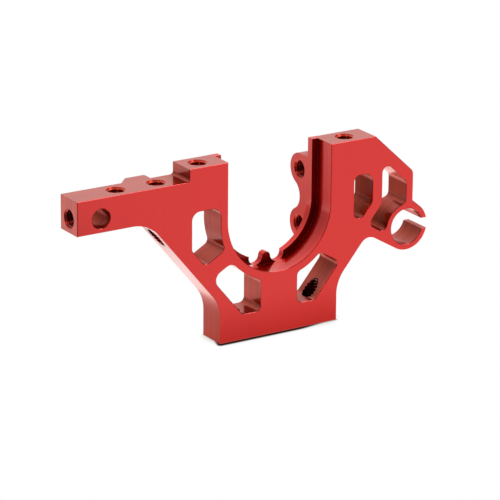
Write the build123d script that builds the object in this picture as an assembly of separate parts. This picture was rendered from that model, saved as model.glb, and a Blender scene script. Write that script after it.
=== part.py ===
from build123d import *
import os
from math import asin, cos, degrees, hypot, radians, sin, tan

# Machined chassis bulkhead, in millimetres. X runs along the plate, Y through it
# and Z up. The origin is the middle of the base's underside, halfway through the
# plate, and the front face looks towards -Y.

# Plate. A drop is measured down from the tower tops, unless its note says otherwise.
plate_thickness = 5.3
edge_chamfer = 0.08
base_width = 22.5
base_side_drop = 23.75
base_side_fillet = 6.0
brace_angle = 50.4
tower_height = 30.4

# Arm on the left
arm_reach = 37.35
arm_drop = 2.1
arm_depth = 5.65
arm_root_fillet = 6.0
left_tower_side = 17.0
tower_foot_fillet = 0.55

# Tower, bevel and split ring on the right
right_tower_corner = 18.45
bevel_angle = 43.0
right_side = 26.1
bevel_fillet = 1.2
ring_x = 25.0
ring_drop = 16.55
ring_bore_radius = 3.1
ring_wall = 0.95
ring_gap = 1.8
ring_gap_rise = 0.05
ring_top_angle = 40.0
ring_arm_angle = 30.5
ring_arm_fillet = 2.0

# Round saddle between the towers, with a thin lip at its back
saddle_radius = 9.8
saddle_drop = 10.1
saddle_wall = 1.4
lip_width = 1.12
lip_thickness = 1.2
notch_radius = 1.27
notch_overcut = 0.03
notch_spacing = 4.1
nub_drop = 0.15  # from the notches' centres

# Windows
window_fillet = 1.0
wide_window_fillet = 1.5
centre_post_width = 7.0
lower_window_floor_drop = 26.1
lower_brace_wall = 1.8
arm_brace_wall = 2.38
left_strut_angle = 30.0
left_strut_width = 2.8
arm_window_side = 16.5
arm_window_drop = 7.27
right_strut_drop = 2.85  # square to the strut, from the saddle's centre
tower_window_inner_side = 14.4
tower_window_outer_side = 18.03
tower_window_floor_width = 1.7
tower_window_drop = 6.15
wing_post_width = 1.92
wing_strut_offset = 0.96
wing_strut_width = 1.84
wing_bevel_wall = 2.06
wing_side_wall = 1.35
ring_arm_wall = 1.5

# Ear behind the right tower
ear_thickness = 4.0
ear_reach = 2.47
ear_boss_radius = 2.7
ear_boss_drop = 6.05
ear_boss_spacing = 9.45
ear_waist_radius = 2.6

# Lug behind the arm
lug_reach = 1.95
lug_inner_end = 21.05
lug_outer_end = 26.5
lug_slant = 1.8
lug_fillet = 0.5

# Holes. A threaded hole is cut to the thread's outer diameter.
thread_radius = 1.5
mouth_chamfer = 0.1
drill_point_angle = 118.0
cross_hole_radius = 1.6
cross_hole_inset = 4.28
cross_hole_drop = 3.35  # from the arm's top
arm_hole_outer = 28.95
arm_hole_inner = 21.65
tower_hole_spacing = 28.0
tower_hole_depth = 5.0
base_hole_spacing = 15.2
base_hole_overrun = 4.7  # past the floors of the lower windows

back_face = plate_thickness / 2
front_view = Plane.XZ
base_side_height = tower_height - base_side_drop
lower_window_floor = tower_height - lower_window_floor_drop
arm_top = tower_height - arm_drop
arm_underside = arm_top - arm_depth
ring_z = tower_height - ring_drop
ring_outer_radius = ring_bore_radius + ring_wall
saddle_z = tower_height - saddle_drop
lip_radius = saddle_radius - lip_width
ear_upper_z = tower_height - ear_boss_drop
ear_lower_z = ear_upper_z - ear_boss_spacing


# A drawing line is a point and a direction. It is shifted towards its left.
def line_at(point, angle):
    return (point, (cos(radians(angle)), sin(radians(angle))))


def upright(x):
    return line_at((x, 0), 90)


def level(z):
    return line_at((0, z), 0)


def shifted(line, distance):
    (x, z), (along, up) = line
    return ((x - up * distance, z + along * distance), (along, up))


def crossing(first, second):
    (x1, z1), (a1, u1) = first
    (x2, z2), (a2, u2) = second
    travel = ((x2 - x1) * u2 - (z2 - z1) * a2) / (a1 * u2 - u1 * a2)
    return (x1 + a1 * travel, z1 + u1 * travel)


def lies_on(line, x, z):
    (x0, z0), (along, up) = line
    return abs((z - z0) * along - (x - x0) * up) < 0.001


# The lines that the outline, the struts and the windows share
left_brace = line_at((-base_width / 2, base_side_height), -brace_angle)
right_brace = line_at((base_width / 2, base_side_height), brace_angle)
bevel = line_at((right_tower_corner, tower_height), -bevel_angle)
ring_top = shifted(line_at((ring_x, ring_z), -ring_top_angle), ring_outer_radius)
ring_underside = shifted(line_at((ring_x, ring_z), -ring_arm_angle), -ring_outer_radius)
left_strut = line_at((0, saddle_z), left_strut_angle)
right_strut = line_at((0, saddle_z), -ring_arm_angle)


# The saddle at any radius is half round below, with straight sides above.
def saddle_shape(radius):
    sides = Pos(0, saddle_z + tower_height / 2) * Rectangle(2 * radius, tower_height)
    return Pos(0, saddle_z) * Circle(radius) + sides


def ring_disc(radius):
    return Pos(ring_x, ring_z) * Circle(radius)


# The outline's corners, each with its fillet, run counter-clockwise from the base.
def plate_outline():
    corners = [
        ((-base_width / 2, 0), 0),
        ((base_width / 2, 0), 0),
        (right_brace[0], base_side_fillet),
        (crossing(right_brace, ring_underside), ring_arm_fillet),
        (ring_underside[0], 0),
        ((ring_x, ring_z), 0),
        (ring_top[0], 0),
        (crossing(ring_top, upright(right_side)), 0),
        (crossing(bevel, upright(right_side)), bevel_fillet),
        (bevel[0], 0),
        ((-left_tower_side, tower_height), 0),
        ((-left_tower_side, arm_top), tower_foot_fillet),
        ((-arm_reach, arm_top), 0),
        ((-arm_reach, arm_underside), 0),
        (crossing(level(arm_underside), left_brace), arm_root_fillet),
        (left_brace[0], base_side_fillet),
    ]
    points = [point for point, radius in corners]
    radii = [radius for point, radius in corners]
    body = make_face(FilletPolyline(*points, radius=radii, close=True))
    body = body + ring_disc(ring_outer_radius) - ring_disc(ring_bore_radius)
    gap = Rectangle(2 * ring_outer_radius, ring_gap)
    body = body - Pos(ring_x + ring_outer_radius, ring_z + ring_gap_rise) * gap
    return body - saddle_shape(saddle_radius)


# Corners where an outline turns, without those where a line runs into its own arc
def turning_corners(face):
    corners = []
    for vertex in face.vertices():
        point = vertex.center()
        headings = []
        for edge in face.edges():
            if edge.distance_to(vertex) < 0.001:
                starts_here = (edge @ 0 - point).length < (edge @ 1 - point).length
                headings.append(edge % 0 if starts_here else (edge % 1) * -1)
        if len(headings) == 2 and headings[0].get_angle(headings[1]) < 175:
            corners.append(vertex)
    return corners


# A window is a polygon less what it has to keep clear of, with every corner filleted.
# Corners on the wide line take the larger fillet.
def window(corners, keep_clear, wide_line=None):
    opening = make_face(Polyline(*corners, close=True)) - keep_clear
    if wide_line:
        wide = []
        for vertex in turning_corners(opening):
            if lies_on(wide_line, vertex.center().X, vertex.center().Y):
                wide.append(vertex)
        opening = fillet(wide, wide_window_fillet)
    return fillet(turning_corners(opening), window_fillet)


def arm_window():
    side = upright(-arm_window_side)
    ceiling = level(tower_height - arm_window_drop)
    brace_wall = shifted(left_brace, arm_brace_wall)
    strut_top = shifted(left_strut, left_strut_width / 2)
    corners = [
        crossing(side, ceiling),
        crossing(side, brace_wall),
        crossing(brace_wall, strut_top),
        crossing(strut_top, upright(0)),
        crossing(upright(0), ceiling),
    ]
    return window(corners, saddle_shape(saddle_radius + saddle_wall), ceiling)


def lower_left_window():
    post = upright(-centre_post_width / 2)
    brace_wall = shifted(left_brace, lower_brace_wall)
    strut_underside = shifted(left_strut, -left_strut_width / 2)
    corners = [
        crossing(post, level(lower_window_floor)),
        crossing(brace_wall, level(lower_window_floor)),
        crossing(brace_wall, strut_underside),
        crossing(strut_underside, post),
    ]
    return window(corners, saddle_shape(saddle_radius + saddle_wall), strut_underside)


def lower_right_window():
    post = upright(centre_post_width / 2)
    brace_wall = shifted(right_brace, lower_brace_wall)
    strut_underside = shifted(right_strut, -right_strut_drop)
    corners = [
        crossing(post, level(lower_window_floor)),
        crossing(brace_wall, level(lower_window_floor)),
        crossing(brace_wall, strut_underside),
        crossing(strut_underside, post),
    ]
    return window(corners, saddle_shape(saddle_radius + saddle_wall))


def tower_window():
    inner_side = upright(tower_window_inner_side)
    outer_side = upright(tower_window_outer_side)
    ceiling = level(tower_height - tower_window_drop)
    strut_edge = shifted(right_brace, wing_strut_offset + wing_strut_width)
    strut_foot = crossing(strut_edge, shifted(inner_side, -tower_window_floor_width))
    corners = [
        crossing(inner_side, line_at(strut_foot, 0)),
        strut_foot,
        crossing(strut_edge, outer_side),
        crossing(outer_side, ceiling),
        crossing(inner_side, ceiling),
    ]
    return window(corners, saddle_shape(saddle_radius + saddle_wall), outer_side)


def wing_window():
    inner_side = upright(tower_window_outer_side + wing_post_width)
    outer_side = upright(right_side - wing_side_wall)
    strut_edge = shifted(right_brace, wing_strut_offset)
    arm_edge = shifted(ring_underside, ring_arm_wall)
    bevel_wall = shifted(bevel, -wing_bevel_wall)
    corners = [
        crossing(strut_edge, arm_edge),
        crossing(arm_edge, outer_side),
        crossing(outer_side, bevel_wall),
        crossing(bevel_wall, inner_side),
        crossing(inner_side, strut_edge),
    ]
    return window(corners, ring_disc(ring_outer_radius))


def plate():
    face = plate_outline() - arm_window() - lower_left_window() - lower_right_window()
    face = face - tower_window() - wing_window()
    slab = extrude(front_view * face, amount=plate_thickness / 2, both=True)
    sides = slab.faces().sort_by(Axis.Y)
    return chamfer(sides[0].edges() + sides[-1].edges(), edge_chamfer)


# The lip lines the saddle at the back face. Two round notches at its lowest point
# cut just past the saddle's floor and leave a round nub between them.
def lip():
    rooted_radius = saddle_radius + saddle_wall / 2
    root_z = saddle_z - rooted_radius
    notch_x = notch_spacing / 2
    notch_centre_radius = saddle_radius + notch_overcut - notch_radius
    notch_z = saddle_z - notch_centre_radius * cos(asin(notch_x / notch_centre_radius))
    nub_z = notch_z - nub_drop
    nub_radius = hypot(notch_x, nub_drop) - notch_radius
    notches = Pos(-notch_x, notch_z) * Circle(notch_radius)
    notches = notches + Pos(notch_x, notch_z) * Circle(notch_radius)
    above_towers = Pos(0, 1.5 * tower_height) * Rectangle(4 * rooted_radius, tower_height)
    between_notches = Pos(0, notch_z) * Rectangle(notch_spacing, 2 * (notch_z - root_z))
    band = saddle_shape(rooted_radius) - saddle_shape(lip_radius)
    band = band - above_towers - notches - between_notches
    neck_corners = [
        (-notch_x, root_z),
        (notch_x, root_z),
        (notch_x, notch_z),
        (0, nub_z),
        (-notch_x, notch_z),
    ]
    neck = make_face(Polyline(*neck_corners, close=True)) - notches
    profile = band + neck + Pos(0, nub_z) * Circle(nub_radius)
    return extrude(front_view.offset(-back_face) * profile, amount=lip_thickness)


# The ear has two round bosses and a waist that runs smoothly into both. Its inner
# side is in line with the lip.
def ear():
    boss_y = back_face + ear_reach
    root_y = back_face - lip_thickness / 2
    half_pitch = (ear_upper_z - ear_lower_z) / 2
    turn = degrees(asin(half_pitch / (ear_boss_radius + ear_waist_radius)))
    top_z = ear_upper_z + ear_boss_radius
    top = Line((root_y, top_z), (boss_y, top_z))
    upper_boss = JernArc(top @ 1, top % 1, ear_boss_radius, -90 - turn)
    waist = JernArc(upper_boss @ 1, upper_boss % 1, ear_waist_radius, 2 * turn)
    lower_boss = JernArc(waist @ 1, waist % 1, ear_boss_radius, -90 - turn)
    bottom = Line(lower_boss @ 1, (root_y, ear_lower_z - ear_boss_radius))
    root = Line(bottom @ 1, top @ 0)
    profile = make_face([top, upper_boss, waist, lower_boss, bottom, root])
    return extrude(Plane.YZ.offset(lip_radius) * profile, amount=ear_thickness)


# The lug is as tall as the arm and starts inside it, past the arm's chamfers.
def lug():
    root_y = back_face - 2 * edge_chamfer
    end_y = back_face + lug_reach
    corners = [
        (-lug_outer_end, root_y),
        (-lug_outer_end, back_face),
        (-lug_outer_end + lug_slant, end_y),
        (-lug_inner_end, end_y),
        (-lug_inner_end, root_y),
    ]
    outline = make_face(Polyline(*corners, close=True))
    outline = fillet(outline.vertices().group_by(Axis.Y)[-1], lug_fillet)
    solid = extrude(Plane.XY.offset(arm_underside) * outline, amount=arm_depth)
    rims = solid.faces().filter_by(Axis.Z).edges()
    return chamfer(rims.filter_by(lambda rim: rim.center().Y > back_face), edge_chamfer)


# The cutter for a hole: chamfered mouth, straight wall, drill point.
def hole(mouth, inwards, radius, depth):
    clear = 2 * mouth_chamfer
    corners = [
        (0, -clear),
        (radius + mouth_chamfer + clear, -clear),
        (radius, mouth_chamfer),
        (radius, depth),
        (0, depth + radius / tan(radians(drill_point_angle / 2))),
    ]
    profile = make_face(Polyline(*corners, close=True))
    return Plane(origin=mouth, z_dir=inwards) * revolve(Plane.XZ * profile, Axis.Z)


def arm_holes():
    cross_x = cross_hole_inset - arm_reach
    cross_hole_z = arm_top - cross_hole_drop
    front = (cross_x, -back_face, cross_hole_z)
    back = (cross_x, back_face, cross_hole_z)
    end = (-arm_reach, 0, cross_hole_z)
    cuts = [
        hole(front, (0, 1, 0), cross_hole_radius, plate_thickness / 2),
        hole(back, (0, -1, 0), cross_hole_radius, plate_thickness / 2),
        hole(end, (1, 0, 0), thread_radius, cross_hole_inset),
    ]
    for x in (arm_hole_outer, arm_hole_inner):
        cuts.append(hole((-x, 0, arm_top), (0, 0, -1), thread_radius, arm_top))
    return cuts


def tower_and_base_holes():
    base_hole_depth = lower_window_floor + base_hole_overrun
    cuts = []
    for side in (-1, 1):
        tower = (side * tower_hole_spacing / 2, 0, tower_height)
        base = (side * base_hole_spacing / 2, 0, 0)
        cuts.append(hole(tower, (0, 0, -1), thread_radius, tower_hole_depth))
        cuts.append(hole(base, (0, 0, 1), thread_radius, base_hole_depth))
    return cuts


def ear_holes():
    cuts = []
    for z in (ear_upper_z, ear_lower_z):
        mouth = (lip_radius, back_face + ear_reach, z)
        cuts.append(hole(mouth, (1, 0, 0), thread_radius, ear_thickness + thread_radius))
    return cuts


def bulkhead():
    solid = plate() + lip() + ear() + lug()
    for cut in arm_holes() + tower_and_base_holes() + ear_holes():
        solid = solid - cut
    return solid


os.makedirs("parts", exist_ok=True)
export_step(bulkhead(), "parts/bulkhead.step")
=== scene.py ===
import math

import bmesh
import bpy
from mathutils import Matrix, Vector
from mathutils.bvhtree import BVHTree


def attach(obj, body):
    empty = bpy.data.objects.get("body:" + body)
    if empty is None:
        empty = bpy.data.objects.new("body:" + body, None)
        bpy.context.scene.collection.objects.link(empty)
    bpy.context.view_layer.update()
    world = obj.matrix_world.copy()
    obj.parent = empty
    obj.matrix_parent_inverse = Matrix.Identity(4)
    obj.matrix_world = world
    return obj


mm = 0.001  # the drawing's millimetres in Blender's metres

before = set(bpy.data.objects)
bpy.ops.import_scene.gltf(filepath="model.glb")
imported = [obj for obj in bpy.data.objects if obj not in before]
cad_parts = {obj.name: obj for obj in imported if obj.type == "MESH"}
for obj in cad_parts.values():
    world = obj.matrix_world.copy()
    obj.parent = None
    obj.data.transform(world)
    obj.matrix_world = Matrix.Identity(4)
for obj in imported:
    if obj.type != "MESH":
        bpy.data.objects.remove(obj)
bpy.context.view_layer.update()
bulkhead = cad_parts["bulkhead"]
print("frame loaded")


# Helpers for materials and node groups
def newMaterial(name):
    material = bpy.data.materials.new(name)
    material.use_nodes = True
    material.node_tree.nodes.clear()
    return material, material.node_tree


def addNode(tree, kind, **values):
    node = tree.nodes.new(kind)
    for key, value in values.items():
        setattr(node, key, value)
    return node


def join(tree, source, target):
    if isinstance(source, bpy.types.NodeSocket):
        tree.links.new(source, target)
    else:
        target.default_value = source


def mathNode(tree, operation, *values, clamp=False):
    node = addNode(tree, "ShaderNodeMath", operation=operation, use_clamp=clamp)
    for socket, value in zip(node.inputs, values):
        join(tree, value, socket)
    return node.outputs[0]


def vectorNode(tree, operation, *values):
    node = addNode(tree, "ShaderNodeVectorMath", operation=operation)
    for socket, value in zip(node.inputs, values):
        join(tree, value, socket)
    return node.outputs["Value"] if operation in ("DOT_PRODUCT", "LENGTH") else node.outputs[0]


def splitVector(tree, vector):
    node = addNode(tree, "ShaderNodeSeparateXYZ")
    join(tree, vector, node.inputs[0])
    return node.outputs


def remap(tree, value, fromRange, toRange, smooth=False):
    kind = "SMOOTHSTEP" if smooth else "LINEAR"
    node = addNode(tree, "ShaderNodeMapRange", interpolation_type=kind)
    join(tree, value, node.inputs["Value"])
    node.inputs["From Min"].default_value, node.inputs["From Max"].default_value = fromRange
    node.inputs["To Min"].default_value, node.inputs["To Max"].default_value = toRange
    return node.outputs[0]


def noise(tree, place, scale, detail, roughness):
    node = addNode(tree, "ShaderNodeTexNoise")
    join(tree, place, node.inputs["Vector"])
    join(tree, scale, node.inputs["Scale"])
    node.inputs["Detail"].default_value = detail
    node.inputs["Roughness"].default_value = roughness
    return node.outputs["Fac"]


# A Mix node's inputs 2 and 3 are its numbers, and 6 and 7 its colours.
def mixValues(tree, share, first, second):
    node = addNode(tree, "ShaderNodeMix", data_type="FLOAT")
    join(tree, share, node.inputs[0])
    join(tree, first, node.inputs[2])
    join(tree, second, node.inputs[3])
    return node.outputs[0]


def mixColours(tree, share, first, second, blend="MIX"):
    node = addNode(tree, "ShaderNodeMix", data_type="RGBA", blend_type=blend)
    join(tree, share, node.inputs[0])
    join(tree, first, node.inputs[6])
    join(tree, second, node.inputs[7])
    return node.outputs[2]


def newGroup(name, inputs, outputs):
    group = bpy.data.node_groups.new(name, "ShaderNodeTree")
    for label, kind, default in inputs:
        socket = group.interface.new_socket(label, in_out="INPUT", socket_type=kind)
        if default is not None:
            socket.default_value = default
    for label, kind in outputs:
        group.interface.new_socket(label, in_out="OUTPUT", socket_type=kind)
    given = addNode(group, "NodeGroupInput").outputs
    result = addNode(group, "NodeGroupOutput").inputs
    return group, given, result


# Fine tool marks. Spread is how many marks there are along each axis, beside the pitch.
toolMarks = {
    "pitch": 0.4,  # mm between marks, where a material gives no other
    "spread": (0.0, 1.0, 0.0),
    "detail": 3.0,
    "roughness": 0.6,
    "toneRange": (0.3, 0.7),  # the noise's own values where the tone is 0 and 1
}


def makeToolMarks():
    group, given, result = newGroup(
        "toolMarks",
        [
            ("Vector", "NodeSocketVector", None),
            ("Pitch", "NodeSocketFloat", toolMarks["pitch"]),
            ("Spread", "NodeSocketVector", toolMarks["spread"]),
        ],
        [("Height", "NodeSocketFloat"), ("Tone", "NodeSocketFloat")],
    )
    marksPerMetre = mathNode(group, "DIVIDE", 1 / mm, given["Pitch"])
    along = vectorNode(group, "MULTIPLY", given["Vector"], given["Spread"])
    lines = noise(group, along, marksPerMetre, toolMarks["detail"], toolMarks["roughness"])
    join(group, lines, result["Height"])
    join(group, remap(group, lines, toolMarks["toneRange"], (0.0, 1.0)), result["Tone"])
    return group


# The mask is 1 on the sharp edges of a solid and 0 away from them, broken up into patches.
# The normal is rounded over the same width.
softEdges = {
    "width": 0.0001,  # m, where a material gives no other
    "samples": 6,
    "turn": (0.99, 0.85),  # cosine between the two normals, from no edge to a full one
    "breakUp": 900.0,  # patches per metre
    "detail": 4.0,
    "roughness": 0.5,
    "patchRange": (0.42, 0.62),  # from none to full wear and painted highlight in the noise
}


def makeEdges():
    group, given, result = newGroup(
        "softEdges",
        [
            ("Vector", "NodeSocketVector", None),
            ("Width", "NodeSocketFloat", softEdges["width"]),
            ("Break Up", "NodeSocketFloat", softEdges["breakUp"]),
        ],
        [("Mask", "NodeSocketFloat"), ("Normal", "NodeSocketVector")],
    )
    bevel = addNode(group, "ShaderNodeBevel", samples=softEdges["samples"])
    join(group, given["Width"], bevel.inputs["Radius"])
    geometry = addNode(group, "ShaderNodeNewGeometry")
    turn = vectorNode(group, "DOT_PRODUCT", bevel.outputs[0], geometry.outputs["Normal"])
    edge = remap(group, turn, softEdges["turn"], (0.0, 1.0))
    detail, roughness = softEdges["detail"], softEdges["roughness"]
    spots = noise(group, given["Vector"], given["Break Up"], detail, roughness)
    patches = remap(group, spots, softEdges["patchRange"], (0.0, 1.0))
    join(group, mathNode(group, "MULTIPLY", edge, patches, clamp=True), result["Mask"])
    join(group, bevel.outputs[0], result["Normal"])
    return group


# Anodised metal: a red dyed layer over satin aluminium, under a clear glossy skin. The
# broad faces and the threads are smooth. The milled walls and the saddle are rougher.
# The finishes are also lit and shaded copies of one another, each dye painted lighter
# or darker for how its faces catch the light.
finish = {
    "wornAndHighlightRed": (0.86, 0.10, 0.06, 1.0),
    "wornAndHighlightShare": 0.35,
    "grazingTint": (1.0, 0.46, 0.40, 1.0),
    "coatIor": 1.45,
    "edgeWidth": 0.00011,  # m
    "recessShadeReach": 0.005,  # m
    "recessShadeSamples": 8,
    "recessShadeRange": (0.96, 0.46),  # open share of the surroundings where the painted recess shade starts and is full
}
broadFaces = {
    "name": "smoothRed",
    "dyeWithPaintedLight": (0.61, 0.008, 0.004, 1.0),  # where the tool marks' tone is 0
    "markedDyeWithPaintedLight": (0.60, 0.008, 0.004, 1.0),  # where it is 1
    "recessShadeTint": (0.22, 0.16, 0.16, 1.0),  # painted shade: multiplies the colour in the recesses
    "coat": (1.0, 0.18),  # share of the clear skin in the open, then in the recesses, where it is thinned as painted shade
    "roughness": (0.25, 0.27),  # at tone 0 and at tone 1
    "coatRoughness": 0.09,
    "pitch": 0.45,  # mm between tool marks
    "spread": (0.9, 0.05, 0.05),
    "markDepth": 0.2e-6,  # m
}
# A darker dye than the broad faces: painted shade on the milled walls.
walls = {
    "name": "milledRed",
    "dyeWithPaintedLight": (0.42, 0.028, 0.003, 1.0),
    "markedDyeWithPaintedLight": (0.28, 0.021, 0.002, 1.0),
    "recessShadeTint": (0.56, 0.70, 0.70, 1.0),
    "coat": (0.92, 0.28),
    "roughness": (0.27, 0.38),
    "coatRoughness": 0.12,
    "pitch": 0.42,
    "spread": (0.02, 1.0, 0.02),
    "markDepth": 1.3e-6,
}
# A lighter dye than the broad faces: painted light on the saddle.
saddleBore = {
    "name": "boredRed",
    "dyeWithPaintedLight": (0.71, 0.017, 0.011, 1.0),
    "markedDyeWithPaintedLight": (0.55, 0.011, 0.008, 1.0),
    "recessShadeTint": (0.73, 0.46, 0.52, 1.0),
    "coat": (0.76, 0.4),
    "roughness": (0.30, 0.42),
    "coatRoughness": 0.12,
    "pitch": 0.42,
    "spread": (0.02, 1.0, 0.02),
    "markDepth": 1.2e-6,
}
# A copy of the bore finish with a paler dye: painted sheen on the ear face and the lip's straight
# sides.
earFace = dict(
    saddleBore,
    name="earRed",
    dyeWithPaintedLight=(0.67, 0.044, 0.034, 1.0),
    markedDyeWithPaintedLight=(0.58, 0.038, 0.030, 1.0),
)
# The thread finish for holes going down, its dye painted lighter as they are lit from above.
tapped = {
    "name": "tappedRed",
    "dyeWithPaintedLight": (0.90, 0.050, 0.009, 1.0),
    "markedDyeWithPaintedLight": (0.74, 0.036, 0.007, 1.0),
    "recessShadeTint": (0.36, 0.28, 0.24, 1.0),
    "coat": (0.95, 0.25),
    "roughness": (0.20, 0.28),
    "coatRoughness": 0.10,
    "pitch": 0.3,
    "spread": (0.3, 0.3, 0.3),
    "markDepth": 1.0e-6,
}
# A darker copy for holes going in sideways: painted shade in the dye.
tappedSideways = dict(
    tapped,
    name="sideTappedRed",
    dyeWithPaintedLight=(0.52, 0.019, 0.006, 1.0),
    markedDyeWithPaintedLight=(0.34, 0.012, 0.004, 1.0),
)
tappedBelow = dict(  # painted shade: a darker dye, as little light gets in from below
    tapped,
    name="darkTappedRed",
    dyeWithPaintedLight=(0.22, 0.008, 0.002, 1.0),
    markedDyeWithPaintedLight=(0.12, 0.004, 0.001, 1.0),
)


def makeAnodised(surface, marks, edges):
    material, tree = newMaterial(surface["name"])
    output = addNode(tree, "ShaderNodeOutputMaterial")
    shader = addNode(tree, "ShaderNodeBsdfPrincipled")
    shader.inputs["Metallic"].default_value = 1.0
    shader.inputs["Specular Tint"].default_value = finish["grazingTint"]
    shader.inputs["Coat IOR"].default_value = finish["coatIor"]
    shader.inputs["Coat Roughness"].default_value = surface["coatRoughness"]
    join(tree, shader.outputs[0], output.inputs["Surface"])
    place = addNode(tree, "ShaderNodeTexCoord").outputs["Object"]
    lines = addNode(tree, "ShaderNodeGroup", node_tree=marks)
    join(tree, place, lines.inputs["Vector"])
    lines.inputs["Pitch"].default_value = surface["pitch"]
    lines.inputs["Spread"].default_value = surface["spread"]
    rims = addNode(tree, "ShaderNodeGroup", node_tree=edges)
    join(tree, place, rims.inputs["Vector"])
    rims.inputs["Width"].default_value = finish["edgeWidth"]

    tone = lines.outputs["Tone"]
    dyeWithPaintedLight = mixColours(tree, tone, surface["dyeWithPaintedLight"], surface["markedDyeWithPaintedLight"])
    # Painted shade: where the surroundings close in, the colour is multiplied darker and the clear
    # skin thinned.
    recess = addNode(
        tree, "ShaderNodeAmbientOcclusion", samples=finish["recessShadeSamples"], only_local=True
    )
    recess.inputs["Distance"].default_value = finish["recessShadeReach"]
    depth = remap(tree, recess.outputs["AO"], finish["recessShadeRange"], (0.0, 1.0))
    dyeWithPaintedLight = mixColours(tree, depth, dyeWithPaintedLight, surface["recessShadeTint"], "MULTIPLY")
    join(tree, remap(tree, depth, (0.0, 1.0), surface["coat"]), shader.inputs["Coat Weight"])
    # The edges get a lighter red, partly wear and partly painted highlight.
    wornAndHighlight = mathNode(tree, "MULTIPLY", rims.outputs["Mask"], finish["wornAndHighlightShare"])
    join(tree, mixColours(tree, wornAndHighlight, dyeWithPaintedLight, finish["wornAndHighlightRed"]), shader.inputs["Base Color"])
    join(tree, remap(tree, tone, (0.0, 1.0), surface["roughness"]), shader.inputs["Roughness"])

    bump = addNode(tree, "ShaderNodeBump")
    bump.inputs["Strength"].default_value = 1.0
    bump.inputs["Distance"].default_value = surface["markDepth"]
    join(tree, lines.outputs["Height"], bump.inputs["Height"])
    join(tree, rims.outputs["Normal"], bump.inputs["Normal"])
    join(tree, bump.outputs[0], shader.inputs["Normal"])
    return material


# Where each finish goes on the solid, by which way a face turns and where it is, so the
# lighter and darker dyes fall there as painted light and shade. The ear's finish is also
# on the lip's straight sides.
finishLimits = {
    "broadTurn": 0.5,  # a broad face's normal has more than this along y
    "saddleHalfWidth": 9.9,  # mm
    "saddleBottom": 10.0,  # mm
    "lipFront": 1.45,  # mm
    "lipSide": 8.6,  # mm
}
solidFinishes = [broadFaces, walls, saddleBore, earFace]


def pickFinish(face):
    x, y, z = face.center / mm
    if abs(face.normal.y) > finishLimits["broadTurn"]:
        return broadFaces
    if abs(x) > finishLimits["saddleHalfWidth"] or z < finishLimits["saddleBottom"]:
        return walls
    if abs(x) > finishLimits["lipSide"] and y > finishLimits["lipFront"]:
        return earFace
    return saddleBore


marks = makeToolMarks()
edges = makeEdges()
bulkhead.data.materials.clear()
for surface in solidFinishes:
    bulkhead.data.materials.append(makeAnodised(surface, marks, edges))
for face in bulkhead.data.polygons:
    face.material_index = solidFinishes.index(pickFinish(face))
print("anodised finishes ready")


# Threads. Each is a skin inside a hole of the solid, trimmed where it breaks out.
thread = {
    "pitch": 0.5,  # mm, as are the other lengths here
    "outerRadius": 1.494,
    "crestRadius": 1.25,
    "crestShare": 0.14,  # how much of each half turn the crest takes
    "flankShare": 0.72,  # and the slope beside it; the groove takes the rest
    "mouthRadius": 1.6,  # the countersink starts here, at the surface
    "mouthStart": 0.11,  # the solid has the first part of the countersink
    "wallRadius": 1.53,  # the back of the thread's own skin, inside the metal
    "slices": 72,
    "stepsPerPitch": 12,
    "sink": 0.004,  # how far a cut end stays under the surface it breaks out of
    "trimRounds": 6,  # the radius and the depth of a trimmed point are found in turns
    "weld": 0.002,
}
sounding = {
    "reach": 1.6,  # mm from the hole's axis to where the metal's depth is measured
    "start": 0.3,  # mm under the mouth
    "count": 96,
    "bottomless": 99.0,  # mm, where the metal has no other side
}
down = (0, 0, -1)
up = (0, 0, 1)
right = (1, 0, 0)
holes = [
    {"name": "outerArmThread", "mouth": (-28.95, 0, 28.3), "inwards": down, "depth": 6.0},
    {"name": "innerArmThread", "mouth": (-21.65, 0, 28.3), "inwards": down, "depth": 12.0},
    {"name": "armEndThread", "mouth": (-37.35, 0, 24.95), "inwards": right, "depth": 4.2},
    {"name": "leftTowerThread", "mouth": (-14.0, 0, 30.4), "inwards": down, "depth": 4.9},
    {"name": "rightTowerThread", "mouth": (14.0, 0, 30.4), "inwards": down, "depth": 4.9},
    {"name": "leftBaseThread", "mouth": (-7.6, 0, 0), "inwards": up, "depth": 9.0},
    {"name": "rightBaseThread", "mouth": (7.6, 0, 0), "inwards": up, "depth": 9.0},
    {"name": "upperEarThread", "mouth": (8.68, 5.12, 24.35), "inwards": right, "depth": 5.0},
    {"name": "lowerEarThread", "mouth": (8.68, 5.12, 14.9), "inwards": right, "depth": 5.0},
]
# Lit and shaded copies of the thread finish, picked by which way the hole goes in.
threadFinishes = {
    down: makeAnodised(tapped, marks, edges),
    right: makeAnodised(tappedSideways, marks, edges),
    up: makeAnodised(tappedBelow, marks, edges),
}
cutEndFinish = bpy.data.materials[walls["name"]]


def surfaceTree(thing):
    mesh = bmesh.new()
    mesh.from_mesh(thing.data)
    tree = BVHTree.FromBMesh(mesh)
    mesh.free()
    return tree


# Measures how deep the metal goes beside a hole, at places across it within the reach.
def soundMetal(tree, mouth, inwards, across):
    reach = sounding["reach"]
    count = sounding["count"]
    depths = []
    for i in range(count + 1):
        offset = reach * (2 * i / count - 1)
        beside = mouth + across * offset + Vector((0, reach, 0)) + inwards * sounding["start"]
        hit = tree.ray_cast(beside * mm, inwards)
        depths.append(hit[3] / mm + sounding["start"] if hit[0] else sounding["bottomless"])

    def depthAt(offset):
        spot = (offset / reach + 1) / 2 * count
        low = max(0, min(count - 1, int(spot)))
        part = spot - low
        return depths[low] * (1 - part) + depths[low + 1] * part - thread["sink"]

    return depthAt


def threadRadius(turn, depth):
    phase = (depth / thread["pitch"] - turn) % 1.0
    rise = abs(2 * phase - 1)  # 1 in the groove, 0 on the crest
    rise = min(1.0, max(0.0, (rise - thread["crestShare"]) / thread["flankShare"]))
    radius = thread["crestRadius"] + (thread["outerRadius"] - thread["crestRadius"]) * rise
    return min(thread["outerRadius"], max(radius, thread["mouthRadius"] - depth))


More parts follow.
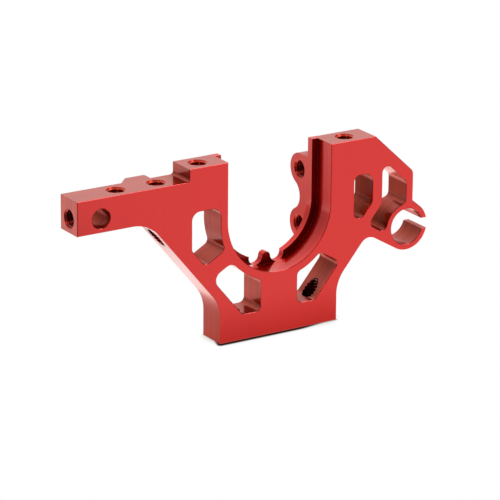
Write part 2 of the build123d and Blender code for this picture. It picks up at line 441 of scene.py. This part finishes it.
# Radius and depth of each point down the thread and back up behind it, on one side
def threadSection(turn, side, rows, depthAt):
    skins = []
    for threaded in (True, False):
        points = []
        for row in rows:
            depth = row
            for _ in range(thread["trimRounds"]):
                radius = threadRadius(turn, depth) if threaded else thread["wallRadius"]
                depth = min(row, depthAt(radius * side))
            points.append((radius, depth))
        skins.append(points)
    front, back = skins
    return front + back[::-1]


def makeThread(tree, hole):
    mouth = Vector(hole["mouth"])
    inwards = Vector(hole["inwards"])
    across = inwards.cross(Vector((0, 1, 0)))
    depthAt = soundMetal(tree, mouth, inwards, across)
    start = thread["mouthStart"]
    length = hole["depth"] - start
    steps = int(length / thread["pitch"] * thread["stepsPerPitch"])
    rows = [start + length * i / steps for i in range(steps + 1)]
    mesh = bmesh.new()
    columns = []
    for j in range(thread["slices"]):
        turn = j / thread["slices"]
        side = math.cos(turn * math.tau)
        lift = math.sin(turn * math.tau)
        column = []
        for radius, depth in threadSection(turn, side, rows, depthAt):
            outwards = across * (radius * side) + Vector((0, radius * lift, 0))
            column.append(mesh.verts.new((mouth + inwards * depth + outwards) * mm))
        columns.append(column)
    cutEnd = len(rows) - 1
    for first, second in zip(columns, columns[1:] + columns[:1]):
        for i in range(len(first)):
            k = (i + 1) % len(first)
            face = mesh.faces.new((first[i], first[k], second[k], second[i]))
            face.smooth = i != cutEnd
            face.material_index = 1 if i == cutEnd else 0
    bmesh.ops.remove_doubles(mesh, verts=mesh.verts, dist=thread["weld"] * mm)
    bmesh.ops.recalc_face_normals(mesh, faces=mesh.faces)
    data = bpy.data.meshes.new(hole["name"])
    mesh.to_mesh(data)
    mesh.free()
    piece = bpy.data.objects.new(hole["name"], data)
    bpy.context.collection.objects.link(piece)
    data.materials.append(threadFinishes[hole["inwards"]])
    data.materials.append(cutEndFinish)
    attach(piece, "root")
    return piece


metal = surfaceTree(bulkhead)
for hole in holes:
    piece = makeThread(metal, hole)
    print("cut", hole["name"], len(piece.data.polygons))


# Floor, backdrop and light. The camera sees plain white with a painted thin shadow where the part
# stands. Reflections see a floor painted with light and shade, and a backdrop, darker on the left and
# in front.
floorLook = {
    "size": 3.0,  # m
    "shade": 0.80,
    "baseHalf": (11.25, 2.65, 0.0),  # mm, half of the base's length and depth
}
# The floor only glows for the camera, so its shadows here are painted.
shadow = {
    "reach": 0.0035,  # m
    "samples": 16,
    "range": (0.5, 0.8),  # open share of the surroundings, from full shadow to none
    "colour": (0.78, 0.73, 0.70, 1.0),
    "lineWidth": (0.85, 0.10),  # mm, the painted dark shadow line under the front edge, from left to right
    "lineRun": (3.0, 10.0),  # mm, where it thins out along that edge
    "lineSide": (-3.3, -0.9),  # mm, where it ends on the left side
    "lineSoft": 0.30,  # mm
    "lineColour": (0.030, 0.008, 0.006, 1.0),
}
# Painted light and shade on the floor, seen only in reflections: a painted shadow of the part behind
# it, a painted pool of light close behind it, and painted darker, redder shade at its foot.
paintedFloorLight = {
    "front": (0.20, 1.17),  # brightness in front, on the far left and then elsewhere
    "frontTurn": (-0.5, 0.05),  # x of the direction from the middle, far left and elsewhere
    "nearBack": (1.15, 1.80),  # behind and close to the part, from left to right, a painted pool of light
    "nearBackRun": (-16.0, -10.0),  # mm
    "farBack": (1.50, 0.45),  # behind and farther off, from left to right, dipping as a painted shadow of the part
    "farBackRun": (-60.0, -12.0),  # mm
    "farRight": (0.0, 1.4),  # added there on the right
    "farRightRun": (-8.0, 20.0),  # mm
    "backStart": (-4.0, 8.0),  # mm, where the front turns into the back
    "nearReach": (30.0, 50.0),  # mm from the part's middle, where near turns into far
    "fadeReach": (110.0, 170.0),  # mm, where the far back fades
    "fadeShare": (1.0, 0.4),  # what is left of it there
    "footShadeReach": 16.0,  # mm from the base, where the floor is painted darker and redder as shade and red bounce light
    "footShadeColour": (0.72, 0.48, 0.44, 1.0),
}
white = (1, 1, 1, 1)


def floorPlace(tree):
    place = addNode(tree, "ShaderNodeTexCoord").outputs["Object"]
    return vectorNode(tree, "DIVIDE", place, (mm, mm, mm))


# How far a place of the floor is from the base, in mm
def baseGap(tree, place):
    outside = vectorNode(tree, "SUBTRACT", vectorNode(tree, "ABSOLUTE", place), floorLook["baseHalf"])
    return vectorNode(tree, "LENGTH", vectorNode(tree, "MAXIMUM", outside, (0, 0, 0)))


# White for the camera, with a painted soft shadow round the base and a painted contact shadow, a thin
# dark line, at its front
def floorColour(tree):
    around = addNode(tree, "ShaderNodeAmbientOcclusion", samples=shadow["samples"])
    around.inputs["Distance"].default_value = shadow["reach"]
    opening = remap(tree, around.outputs["AO"], shadow["range"], (0.0, 1.0), smooth=True)
    soft = mixColours(tree, opening, shadow["colour"], white)
    place = floorPlace(tree)
    spot = splitVector(tree, place)
    width = remap(tree, spot["X"], shadow["lineRun"], shadow["lineWidth"], smooth=True)
    width = mathNode(tree, "MULTIPLY", width, remap(tree, spot["Y"], shadow["lineSide"], (1.0, 0.0)))
    past = mathNode(tree, "SUBTRACT", baseGap(tree, place), width)
    line = remap(tree, past, (-shadow["lineSoft"], shadow["lineSoft"]), (0.0, 1.0), smooth=True)
    return mixColours(tree, line, shadow["lineColour"], soft)


# Painted light and shade: how bright each place of the floor looks in a reflection, and its colour
# there
def paintedFloorGlow(tree):
    place = floorPlace(tree)
    distance = vectorNode(tree, "LENGTH", place)
    heading = splitVector(tree, vectorNode(tree, "NORMALIZE", place))
    spot = splitVector(tree, place)
    far = remap(tree, distance, paintedFloorLight["nearReach"], (0.0, 1.0), smooth=True)
    side = remap(tree, heading["X"], paintedFloorLight["frontTurn"], paintedFloorLight["front"], smooth=True)
    front = mixValues(tree, far, paintedFloorLight["front"][1], side)
    nearBack = remap(tree, spot["X"], paintedFloorLight["nearBackRun"], paintedFloorLight["nearBack"])
    farLeft = remap(tree, spot["X"], paintedFloorLight["farBackRun"], paintedFloorLight["farBack"])
    farRight = remap(tree, spot["X"], paintedFloorLight["farRightRun"], paintedFloorLight["farRight"])
    fade = remap(tree, distance, paintedFloorLight["fadeReach"], paintedFloorLight["fadeShare"])
    farBack = mathNode(tree, "MULTIPLY", mathNode(tree, "ADD", farLeft, farRight), fade)
    back = mixValues(tree, far, nearBack, farBack)
    behind = remap(tree, spot["Y"], paintedFloorLight["backStart"], (0.0, 1.0), smooth=True)
    footShade = remap(tree, baseGap(tree, place), (0.0, paintedFloorLight["footShadeReach"]), (0.0, 1.0))
    colour = mixColours(tree, footShade, paintedFloorLight["footShadeColour"], white)
    return mixValues(tree, behind, front, back), colour


def makeFloor():
    mesh = bpy.data.meshes.new("floor")
    half = floorLook["size"] / 2
    corners = [(-half, -half, 0), (half, -half, 0), (half, half, 0), (-half, half, 0)]
    mesh.from_pydata(corners, [], [(0, 1, 2, 3)])
    floor = bpy.data.objects.new("floor", mesh)
    bpy.context.collection.objects.link(floor)
    material, tree = newMaterial("paleFloor")
    output = addNode(tree, "ShaderNodeOutputMaterial")
    rays = addNode(tree, "ShaderNodeLightPath").outputs

    diffuse = addNode(tree, "ShaderNodeBsdfDiffuse")
    diffuse.inputs["Color"].default_value = (floorLook["shade"],) * 3 + (1,)
    glow = addNode(tree, "ShaderNodeEmission")
    reflected = mathNode(tree, "MAXIMUM", rays["Is Glossy Ray"], rays["Is Transmission Ray"])
    strength, colour = paintedFloorGlow(tree)
    join(tree, strength, glow.inputs["Strength"])
    join(tree, colour, glow.inputs["Color"])
    lit = addNode(tree, "ShaderNodeMixShader")
    join(tree, reflected, lit.inputs[0])
    join(tree, diffuse.outputs[0], lit.inputs[1])
    join(tree, glow.outputs[0], lit.inputs[2])

    paper = addNode(tree, "ShaderNodeEmission")  # what the camera sees
    join(tree, floorColour(tree), paper.inputs["Color"])

    choose = addNode(tree, "ShaderNodeMixShader")
    join(tree, rays["Is Camera Ray"], choose.inputs[0])
    join(tree, lit.outputs[0], choose.inputs[1])
    join(tree, paper.outputs[0], choose.inputs[2])
    join(tree, choose.outputs[0], output.inputs["Surface"])
    mesh.materials.append(material)


sky = {
    "brightSide": (0.24, 0.74, 0.63),
    "range": (-0.4, 1.0),  # cosine to the bright side, from the darkest to the brightest
    "falloff": 2.0,
    "glow": (0.22, 1.30),  # strength there
}


def makeWorld():
    world = bpy.data.worlds.new("studio")
    bpy.context.scene.world = world
    world.use_nodes = True
    tree = world.node_tree
    tree.nodes.clear()
    output = addNode(tree, "ShaderNodeOutputWorld")
    background = addNode(tree, "ShaderNodeBackground")
    background.inputs["Color"].default_value = white
    direction = addNode(tree, "ShaderNodeTexCoord").outputs["Generated"]
    side = vectorNode(tree, "DOT_PRODUCT", direction, sky["brightSide"])
    share = remap(tree, side, sky["range"], (0.0, 1.0))
    glow = remap(tree, mathNode(tree, "POWER", share, sky["falloff"]), (0.0, 1.0), sky["glow"])
    seen = addNode(tree, "ShaderNodeLightPath").outputs["Is Camera Ray"]  # plain white there
    join(tree, mathNode(tree, "MAXIMUM", glow, seen), background.inputs["Strength"])
    join(tree, background.outputs[0], output.inputs["Surface"])


# Places and sizes are in metres, and powers in watts.
lampAim = (0, 0, 0.015)
lamps = [
    {"name": "topLamp", "place": (0.455, -0.289, 0.72), "size": 0.35, "power": 1.2},
    {"name": "leftLamp", "place": (-0.60, -0.28, 0.62), "size": 0.25, "power": 1.6},
]


def makeLamps():
    for lamp in lamps:
        light = bpy.data.lights.new(lamp["name"], "AREA")
        light.energy = lamp["power"]
        light.size = lamp["size"]
        thing = bpy.data.objects.new(lamp["name"], light)
        bpy.context.collection.objects.link(thing)
        place = Vector(lamp["place"])
        turn = (Vector(lampAim) - place).to_track_quat("-Z", "Y")
        thing.matrix_world = Matrix.Translation(place) @ turn.to_matrix().to_4x4()


# The photo's own view, solved from the plate's straight edges
view = {
    "place": (-268.025, -417.538, 181.929),  # mm
    "azimuth": -32.3063,  # degrees
    "elevation": 18.7735,
    "roll": 0.4501,
    "lens": 232.303,
    "sensor": 36.0,
    "clip": (0.05, 20.0),  # m
}


def makeCamera():
    lens = bpy.data.cameras.new("camera")
    lens.sensor_width = view["sensor"]
    lens.lens = view["lens"]
    lens.clip_start, lens.clip_end = view["clip"]
    camera = bpy.data.objects.new("camera", lens)
    bpy.context.collection.objects.link(camera)
    place = Matrix.Translation(Vector(view["place"]) * mm)
    turn = Matrix.Rotation(math.radians(view["azimuth"]), 4, "Z")
    tilt = Matrix.Rotation(math.radians(90 - view["elevation"]), 4, "X")
    roll = Matrix.Rotation(math.radians(view["roll"]), 4, "Z")
    camera.matrix_world = place @ turn @ tilt @ roll
    bpy.context.scene.camera = camera


makeFloor()
makeWorld()
makeLamps()
makeCamera()
bpy.context.scene.view_settings.view_transform = "Standard"
print("stage, lamps and camera set")
